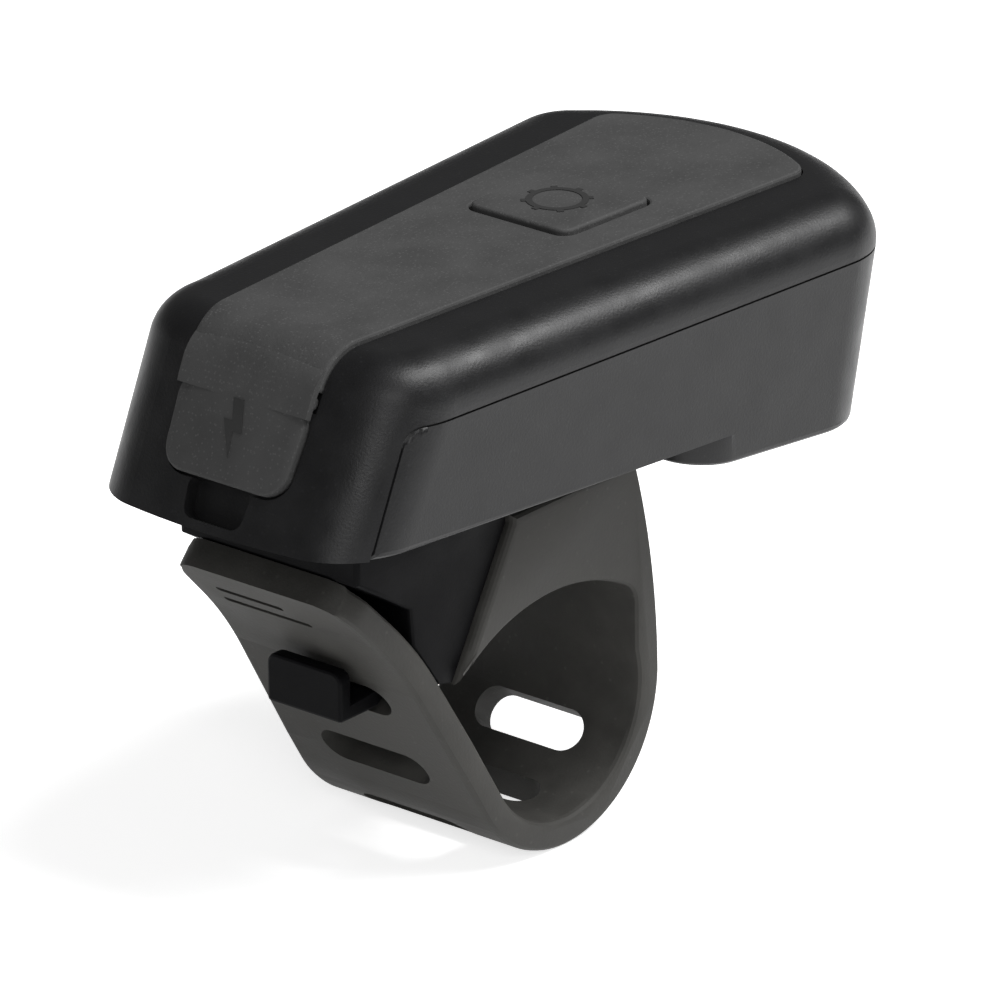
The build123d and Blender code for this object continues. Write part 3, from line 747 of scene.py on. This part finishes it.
@dataclass(frozen=True)
class MouldedCopy:
    """A CAD node's copy with its visible corners rounded as the mould leaves them.

    Attributes:
        node: the CAD node that the copy stands for.
        slot: a material slot's name; not used.
        zones: where corners are rounded.
        body: the body it rides on.
        least_deg: least corner that is rounded.
        keep_off: holes whose rims stay as they are: X, distance from the middle plane and reach.
        sharp_deg: least corner that is shaded sharp.
    """

    node: str
    slot: str
    zones: tuple[Zone, ...]
    body: Body = Body.LIGHT
    least_deg: float = 42.0
    keep_off: tuple[Spot, ...] = ()
    sharp_deg: float = 20.0

    def corner(self, edge: bmesh.types.BMEdge) -> bool:
        """Whether an edge is an outward corner that may be rounded."""
        least = math.radians(self.least_deg)
        if len(edge.link_faces) != 2 or edge.calc_face_angle_signed(0.0) < least:
            return False
        middle = middle_of(edge)
        return all(
            math.hypot(middle.x - mm(x), abs(middle.y) - mm(y)) > mm(far)
            for x, y, far in self.keep_off
        )

    def shape(self, mesh: bmesh.types.BMesh) -> None:
        """Changes the copy before its corners are rounded; plain copies need nothing."""

    def build(self, nodes: dict[str, bpy.types.Object], finishes: Finishes) -> bpy.types.Object:
        """Makes the copy in place of its node.

        Args:
            nodes: CAD nodes by name.
            finishes: the material store.

        Returns:
            The new object.
        """
        mesh = bmesh.new()
        mesh.from_mesh(nodes[self.node].data)
        bmesh.ops.remove_doubles(mesh, verts=mesh.verts[:], dist=mm(WELD_MM))
        bmesh.ops.dissolve_limit(
            mesh,
            angle_limit=math.radians(FLAT_DEG),
            use_dissolve_boundaries=False,
            verts=mesh.verts[:],
            edges=mesh.edges[:],
            delimit=set(),
        )
        self.shape(mesh)
        for zone in self.zones:
            edges = [
                edge for edge in mesh.edges if self.corner(edge) and zone.holds(middle_of(edge))
            ]
            if edges:
                round_edges(mesh, edges, zone.radius_mm, zone.segments)
            LOG.info("rounded %d corners of %s", len(edges), self.node)
        piece = finished_object(self.node + "_moulded", mesh)
        smooth(piece, self.sharp_deg)
        finishes.dress(piece, NODE_FINISHES[self.node])
        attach(piece, self.body.value)
        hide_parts(self.node)
        return piece


@dataclass(frozen=True)
class MountBaseCopy(MouldedCopy):
    """The mount base's copy with a shorter hook: a level arm and an upright tab with round corners.

    Attributes:
        hook_low_mm: lowest part of the old hook's faces that come off.
        hook_high_mm: highest part of them.
        half_mm: half the hook's width.
        profile: the new hook's side view, in millimetres.
        tab_corner_mm: radius of the tab's upper corners.
        tab_segments: faces across that radius.
        edge_mm: rounding of the new hook's other edges.
        edge_segments: faces across that rounding.
        edge_end_mm: X up to which the edges are rounded, clear of the base.
        level_mm: reach within which two measures are the same.
    """

    hook_low_mm: Spot = (-40.0, -5.45, 0.0)
    hook_high_mm: Spot = (-18.0, 5.45, 11.75)
    half_mm: float = 5.4
    profile: tuple[tuple[float, float], ...] = (
        (-18.4, 10.65),
        (-22.94, 7.92),
        (-26.6, 7.92),
        (-26.6, 11.8),
        (-28.5, 11.8),
        (-28.5, 5.92),
        (-22.94, 5.92),
        (-18.4, 8.65),
    )
    tab_corner_mm: float = 1.3
    tab_segments: int = 5
    edge_mm: float = 0.35
    edge_segments: int = 2
    edge_end_mm: float = -20.0
    level_mm: float = 0.01

    def shape(self, mesh: bmesh.types.BMesh) -> None:
        """Takes the old hook off and puts the new one on.

        Args:
            mesh: the copy.
        """
        self.take_hook_off(mesh)
        hook = self.new_hook()
        data = bpy.data.meshes.new("hook")
        hook.to_mesh(data)
        hook.free()
        mesh.from_mesh(data)
        bpy.data.meshes.remove(data)

    def take_hook_off(self, mesh: bmesh.types.BMesh) -> None:
        """Deletes the old hook's faces and closes the holes they leave.

        Args:
            mesh: the copy.
        """
        low, high = (
            Vector(mm(value) for value in corner)
            for corner in (self.hook_low_mm, self.hook_high_mm)
        )
        old = [
            face
            for face in mesh.faces
            if all(
                low[axis] <= vert.co[axis] <= high[axis] for vert in face.verts for axis in range(3)
            )
        ]
        bmesh.ops.delete(mesh, geom=old, context="FACES")
        open_edges = [edge for edge in mesh.edges if edge.is_boundary]
        bmesh.ops.holes_fill(mesh, edges=open_edges, sides=0)
        LOG.info("took %d faces of the old hook off", len(old))

    def new_hook(self) -> bmesh.types.BMesh:
        """Makes the new hook from its side view.

        Returns:
            The hook, with its corners and edges rounded.
        """
        hook = bmesh.new()
        half = mm(self.half_mm)
        hook.faces.new([hook.verts.new((mm(x), -half, mm(z))) for x, z in self.profile])
        raise_faces(hook, Vector((0.0, half * 2.0, 0.0)))
        bmesh.ops.recalc_face_normals(hook, faces=hook.faces)
        top, same = mm(max(z for _x, z in self.profile)), mm(self.level_mm)
        upper = [
            edge
            for edge in hook.edges
            if all(abs(vert.co.z - top) < same for vert in edge.verts)
            and abs(edge.verts[0].co.y - edge.verts[1].co.y) < same
        ]
        round_edges(hook, upper, self.tab_corner_mm, self.tab_segments)
        outward = [
            edge
            for edge in hook.edges
            if edge.calc_face_angle_signed(0.0) > math.radians(self.least_deg)
            and all(vert.co.x < mm(self.edge_end_mm) for vert in edge.verts)
        ]
        round_edges(hook, outward, self.edge_mm, self.edge_segments)
        return hook


@dataclass(frozen=True)
class WallSeat:
    """The flat part of the rear wall that the flap lies on.

    Attributes:
        hinge_mm: the hinge line's X and Z.
        lean: how far the wall leans forward for each unit up.
    """

    hinge_mm: tuple[float, float] = (-36.3, 47.35)
    lean: float = 0.5

    def spot(self, across_mm: float, down_mm: float, out_mm: float) -> Vector:
        """A point on the wall's own axes, in metres."""
        skew = math.hypot(1.0, self.lean)
        out = Vector((-1.0, 0.0, self.lean)) / skew
        down = Vector((-self.lean, 0.0, -1.0)) / skew
        start = Vector((self.hinge_mm[0], 0.0, self.hinge_mm[1]))
        return (start + out * out_mm + down * down_mm + Vector((0.0, across_mm, 0.0))) * mm(1.0)

    def step(self, from_mm: float, to_mm: float) -> Vector:
        """The way from one height over the wall to another, in metres."""
        return self.spot(0.0, 0.0, to_mm) - self.spot(0.0, 0.0, from_mm)


@dataclass(frozen=True)
class RubberBridge:
    """Thin rubber that joins the pad to the flap over the hinge, so the moulding runs on.

    Attributes:
        seat: the wall it lies on.
        upper_mm: where it starts, down from the hinge, so less than 0 is above it.
        lower_mm: where it ends, down from the hinge.
        feather_mm: length over which each end sinks into the face under it.
        round_from_mm: where the wall starts to turn into the top, down from the hinge.
        round_mm: radius of that turn.
        flap_top_mm: where the flap's own face starts, down from the hinge.
        upper_half_mm: half its width at the pad.
        lower_half_mm: half its width at the flap.
        pad_out_mm: the pad's surface there, out from the wall.
        flap_out_mm: the flap's surface.
        wall_arc_mm: radius of the wall's curve in plan, which the pad follows.
        depth_mm: its thickness.
        sink_mm: how far its feathered ends sink.
        across: faces from side to side.
        along: faces from the pad to the flap.
        sharp_deg: least corner that is shaded sharp.
    """

    seat: WallSeat = WallSeat()
    upper_mm: float = -4.6
    lower_mm: float = 1.9
    feather_mm: float = 1.0
    round_from_mm: float = -1.85
    round_mm: float = 6.0
    flap_top_mm: float = -0.9
    upper_half_mm: float = 9.42
    lower_half_mm: float = 9.28
    pad_out_mm: float = 0.64
    flap_out_mm: float = 0.84
    wall_arc_mm: float = 90.0
    depth_mm: float = 0.9
    sink_mm: float = 0.08
    across: int = 24
    along: int = 26
    sharp_deg: float = 50.0

    def face_spot(self, side_share: float, share: float) -> Vector:
        """A point on its outer face.

        Args:
            side_share: -1 at one side, 1 at the other.
            share: 0 at the pad's end, 1 at the flap's.

        Returns:
            The point, in metres.
        """
        half = self.upper_half_mm + (self.lower_half_mm - self.upper_half_mm) * share
        side = side_share * half
        down = self.upper_mm + (self.lower_mm - self.upper_mm) * share
        rise = min((down - self.upper_mm) / (self.flap_top_mm - self.upper_mm), 1.0)
        pad_out = self.pad_out_mm - side * side / (2.0 * self.wall_arc_mm)
        out = pad_out + (self.flap_out_mm - pad_out) * rise * rise * (3.0 - 2.0 * rise)
        for from_end in (down - self.upper_mm, self.lower_mm - down):
            out -= self.sink_mm * max(1.0 - from_end / self.feather_mm, 0.0)
        if down < self.round_from_mm:
            turn = (self.round_from_mm - down) / self.round_mm
            reach = self.round_mm + out
            out = reach * math.cos(turn) - self.round_mm
            down = self.round_from_mm - reach * math.sin(turn)
        return self.seat.spot(side, down, out)

    def build(self, finishes: Finishes) -> bpy.types.Object:
        """Makes the bridge.

        Args:
            finishes: the material store.

        Returns:
            The new object.
        """
        mesh = bmesh.new()
        bmesh.ops.create_grid(mesh, x_segments=self.across, y_segments=self.along, size=1.0)
        for vert in mesh.verts:
            vert.co = self.face_spot(vert.co.x, (vert.co.y + 1.0) / 2.0)
        raise_faces(mesh, self.seat.step(0.0, -self.depth_mm))
        piece = finished_object("hinge_bridge", mesh)
        smooth(piece, self.sharp_deg)
        finishes.dress(piece, PAD)
        tuple(self.seat.spot(0.0, -1.3, 0.4))
        tuple(self.seat.spot(0.0, 0.9, 0.4))
        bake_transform(piece)
        return piece


@dataclass(frozen=True)
class ChargeMark:
    """Plain lightning bolt moulded on the flap.

    Attributes:
        seat: the wall that the flap lies on.
        centre_down_mm: its middle, down from the hinge.
        outline: its corners, across and up, in millimetres.
        low_mm: where its foot lies, out from the wall.
        high_mm: its face, out from the wall.
    """

    seat: WallSeat = WallSeat()
    centre_down_mm: float = 5.0
    outline: tuple[tuple[float, float], ...] = (
        (-0.55, 3.2),
        (-1.5, -0.45),
        (-0.2, -0.45),
        (-0.55, -3.3),
        (1.5, 0.75),
        (0.25, 0.75),
        (0.95, 3.2),
    )
    low_mm: float = 0.6
    high_mm: float = 0.9

    def build(self, finishes: Finishes) -> bpy.types.Object:
        """Makes the mark.

        Args:
            finishes: the material store.

        Returns:
            The new object.
        """
        mesh = bmesh.new()
        foot = [self.seat.spot(x, self.centre_down_mm - up, self.low_mm) for x, up in self.outline]
        mesh.faces.new([mesh.verts.new(corner) for corner in foot])
        raise_faces(mesh, self.seat.step(self.low_mm, self.high_mm))
        piece = finished_object("flap_bolt_mark", mesh)
        # The mark's darker colour is painted shade of an engraved mark.
        finishes.dress(piece, SHADED_MARK)
        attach(piece, Body.FLAP.value)
        return piece


@dataclass(frozen=True)
class LightSymbol:
    """Plain light symbol moulded on the button: a ring with short ticks round it.

    Attributes:
        radius_mm: the ring's middle radius.
        width_mm: width of its line.
        height_mm: how far it stands up, and how far its foot lies under the button's face.
        ray_count: number of ticks.
        ray_mm: length of a tick.
        segments: faces round the ring.
    """

    radius_mm: float = 3.2
    width_mm: float = 0.75
    height_mm: float = 0.09
    ray_count: int = 8
    ray_mm: float = 0.5
    segments: int = 64

    def build(self, finishes: Finishes) -> bpy.types.Object:
        """Makes the symbol on top of the button.

        Args:
            finishes: the material store.

        Returns:
            The new object.
        """
        low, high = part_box("power_button")
        centre = Vector(((low.x + high.x) / 2.0, (low.y + high.y) / 2.0, high.z))
        mesh = bmesh.new()
        radius, width, height = mm(self.radius_mm), mm(self.width_mm), mm(self.height_mm)
        outer, inner = (
            bmesh.ops.create_circle(mesh, segments=self.segments, radius=reach)["verts"]
            for reach in (radius + width / 2.0, radius - width / 2.0)
        )
        rim = [edge for vert in outer + inner for edge in vert.link_edges]
        bmesh.ops.bridge_loops(mesh, edges=list(dict.fromkeys(rim)))
        for index in range(self.ray_count):
            turn = Matrix.Rotation(math.tau * index / self.ray_count, 4, "Z")
            place = Matrix.Translation((radius + width / 2.0 + mm(self.ray_mm) / 2.0, 0.0, 0.0))
            size = Matrix.Diagonal((mm(self.ray_mm), width, 1.0, 1.0))
            add_square(mesh, turn @ place @ size)
        raise_faces(mesh, Vector((0.0, 0.0, height * 2.0)))
        bmesh.ops.translate(mesh, verts=mesh.verts[:], vec=centre - Vector((0.0, 0.0, height)))
        piece = finished_object("button_light_symbol", mesh)
        # The symbol's darker colour is painted shade of an engraved mark.
        finishes.dress(piece, SHADED_MARK)
        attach(piece, Body.BUTTON.value)
        return piece


MOULDED_COPIES = (
    MouldedCopy(
        "lower_shell",
        "housing_plastic",
        (
            Zone((-60.0, 14.0, 24.0), (60.0, 40.0, 33.0), 0.8),
            Zone((36.0, 0.0, 24.0), (60.0, 13.99, 29.5), 0.8),
        ),
        keep_off=((-28.4, 16.9, 3.3), (32.5, 20.4, 3.3)),
        sharp_deg=14.0,
    ),
    MouldedCopy("top_pad", "pad_rubber", (Zone((-60.0, 0.0, 45.0), (60.0, 40.0, 60.0), 0.3, 2),)),
    MouldedCopy(
        "usb_flap",
        "flap_rubber",
        (Zone((-60.0, 0.0, 30.0), (0.0, 40.0, 60.0), 0.3, 2),),
        body=Body.FLAP,
    ),
    MountBaseCopy(
        "mount_base",
        "base_plastic",
        (Zone((-60.0, 12.5, 0.0), (60.0, 40.0, 60.0), 0.6),),
    ),
    MouldedCopy("strap", "strap_rubber", (Zone((-60.0, 11.5, -30.0), (60.0, 40.0, 60.0), 0.8),)),
)


# ---------------------------------------------------------------- view, light and floor


@dataclass(frozen=True)
class Lamp:
    """A soft square lamp aimed at the headlight.

    Attributes:
        name: the lamp's name.
        at: its place in metres.
        size: its side in metres.
        power: watts.
        aim_mm: the point it is aimed at.
    """

    name: str
    at: Spot
    size: float
    power: float
    aim_mm: Spot = (0.0, 0.0, 30.0)

    def build(self) -> None:
        """Puts the lamp into the scene."""
        data = bpy.data.lights.new(self.name, "AREA")
        data.shape = "SQUARE"
        data.size = self.size
        data.energy = self.power
        place = Vector(self.at)
        aim = (Vector(mm(value) for value in self.aim_mm) - place).to_track_quat("-Z", "Y")
        lamp = linked_object(self.name, data)
        lamp.matrix_world = Matrix.Translation(place) @ aim.to_matrix().to_4x4()


LAMPS = (
    Lamp("overhead_soft", (0.1, -0.42, 0.9), size=0.42, power=6.5),
    Lamp("shoulder_soft", (0.55, -0.42, 0.78), size=0.32, power=6.5),
    Lamp("key_soft", (-0.75, -0.6, 0.6), size=0.4, power=3.2),
)


@dataclass(frozen=True)
class Studio:
    """Camera at the photograph's angle, soft light and a pale floor.

    Attributes:
        turn_deg: the view's turn about the vertical, from the fitted camera.
        rise_deg: how far it looks down.
        roll_deg: tilt of the frame.
        distance_mm: from the eye to the plane of the handlebar's axis.
        scale: pixels per millimetre at that distance.
        frame_px: side of the square frame.
        aim_mm: the point that the fit is hung on.
        aim_px: where that point falls in the frame.
        clip: nearest and farthest distance that is drawn, in metres.
        floor_size: the floor's side in metres.
        floor_colour: its colour, linear.
        floor_dim: its darkest part's share of that colour.
        floor_cells: cells per metre of its faint mottle.
        floor_roughness: its roughness.
        backdrop_glow: how strongly the floor glows to the eye, without lighting anything.
        world_strength: strength of the even surroundings.
        lamps: the soft lamps.
    """

    turn_deg: float = 49.518
    rise_deg: float = 22.415
    roll_deg: float = -0.622
    distance_mm: float = 1185.19
    scale: float = 8.953
    frame_px: float = 1000.0
    aim_mm: Spot = (0.0, -14.1, 0.0)
    aim_px: tuple[float, float] = (567.91, 713.17)
    clip: tuple[float, float] = (0.05, 100.0)
    floor_size: float = 12.0
    floor_colour: Colour = (0.9, 0.9, 0.9)
    floor_dim: float = 0.98
    floor_cells: float = 3.0
    floor_roughness: float = 0.8
    backdrop_glow: float = 0.72
    world_strength: float = 0.14
    lamps: tuple[Lamp, ...] = LAMPS

    def camera(self) -> None:
        """Makes the camera and sets it as the scene's."""
        turn, rise, roll = (
            math.radians(angle) for angle in (self.turn_deg, self.rise_deg, self.roll_deg)
        )
        right = Vector((math.cos(turn), -math.sin(turn), 0.0))
        ahead = Vector(
            (math.cos(rise) * math.sin(turn), math.cos(rise) * math.cos(turn), -math.sin(rise))
        )
        above = right.cross(ahead)
        across = right * math.cos(roll) + above * math.sin(roll)
        up = above * math.cos(roll) - right * math.sin(roll)
        half = self.frame_px / 2.0
        eye = Vector(self.aim_mm) - ahead * self.distance_mm
        eye -= across * ((self.aim_px[0] - half) / self.scale)
        eye -= up * ((half - self.aim_px[1]) / self.scale)
        data = bpy.data.cameras.new("view")
        data.angle = 2.0 * math.atan(half / (self.scale * self.distance_mm))
        data.clip_start, data.clip_end = self.clip
        view = linked_object("view", data)
        axes = Matrix((across, up, -ahead)).transposed().to_4x4()
        view.matrix_world = Matrix.Translation(eye * mm(1.0)) @ axes
        bpy.context.scene.camera = view

    def floor(self) -> None:
        """Makes the pale floor under the lowest piece."""
        low, _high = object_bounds()
        mesh = bmesh.new()
        add_square(mesh, Matrix.Diagonal((self.floor_size, self.floor_size, 1.0, 1.0)))
        bmesh.ops.translate(mesh, verts=mesh.verts[:], vec=(0.0, 0.0, low[2]))
        floor = finished_object("studio_floor", mesh)
        material, graph, shader = new_material("studio_floor")
        where = graph.node("ShaderNodeTexCoord").outputs["Object"]
        faint = graph.noise(where, self.floor_cells)
        shade = graph.blend(faint, scaled(self.floor_colour, self.floor_dim), self.floor_colour)
        graph.feed(shade, shader.inputs["Base Color"])
        shader.inputs["Roughness"].default_value = self.floor_roughness
        path = graph.node("ShaderNodeLightPath")
        seen = graph.math("ADD", path.outputs["Is Camera Ray"], path.outputs["Is Glossy Ray"])
        seen = graph.math("ADD", seen, path.outputs["Is Transmission Ray"])
        graph.feed(WHITE, shader.inputs["Emission Color"])
        glow = graph.math("MULTIPLY", seen, self.backdrop_glow)
        graph.feed(glow, shader.inputs["Emission Strength"])
        floor.data.materials.append(material)
        floor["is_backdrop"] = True

    def world(self) -> None:
        """Even pale surroundings."""
        world = bpy.data.worlds.new("studio")
        bpy.context.scene.world = world
        world.use_nodes = True
        back = world.node_tree.nodes["Background"]
        back.inputs["Color"].default_value = (*WHITE, 1.0)
        back.inputs["Strength"].default_value = self.world_strength

    def build(self) -> None:
        """Makes the whole studio."""
        self.camera()
        self.world()
        self.floor()
        for lamp in self.lamps:
            lamp.build()
        bpy.context.scene.view_settings.view_transform = "Standard"


def dress_frame(nodes: dict[str, bpy.types.Object], finishes: Finishes) -> None:
    """Gives each CAD node its finish.

    Args:
        nodes: CAD nodes by name.
        finishes: the material store.
    """
    for name, node in nodes.items():
        finishes.dress(node, NODE_FINISHES[name])
        LOG.info("dressed %s", name)


def main() -> None:
    """Builds everything round the frame."""
    logging.basicConfig(level=logging.INFO, format="%(message)s")
    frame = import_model()
    finishes = Finishes()
    dress_frame(frame["nodes"], finishes)
    pieces = [LightSymbol().build(finishes)]
    pieces += [moulding.build(frame["nodes"], finishes) for moulding in MOULDED_COPIES]
    pieces += [RubberBridge().build(finishes), ChargeMark().build(finishes)]
    LOG.info("made %s", ", ".join(piece.name for piece in pieces))
    Studio().build()


if __name__ == "__main__":
    main()
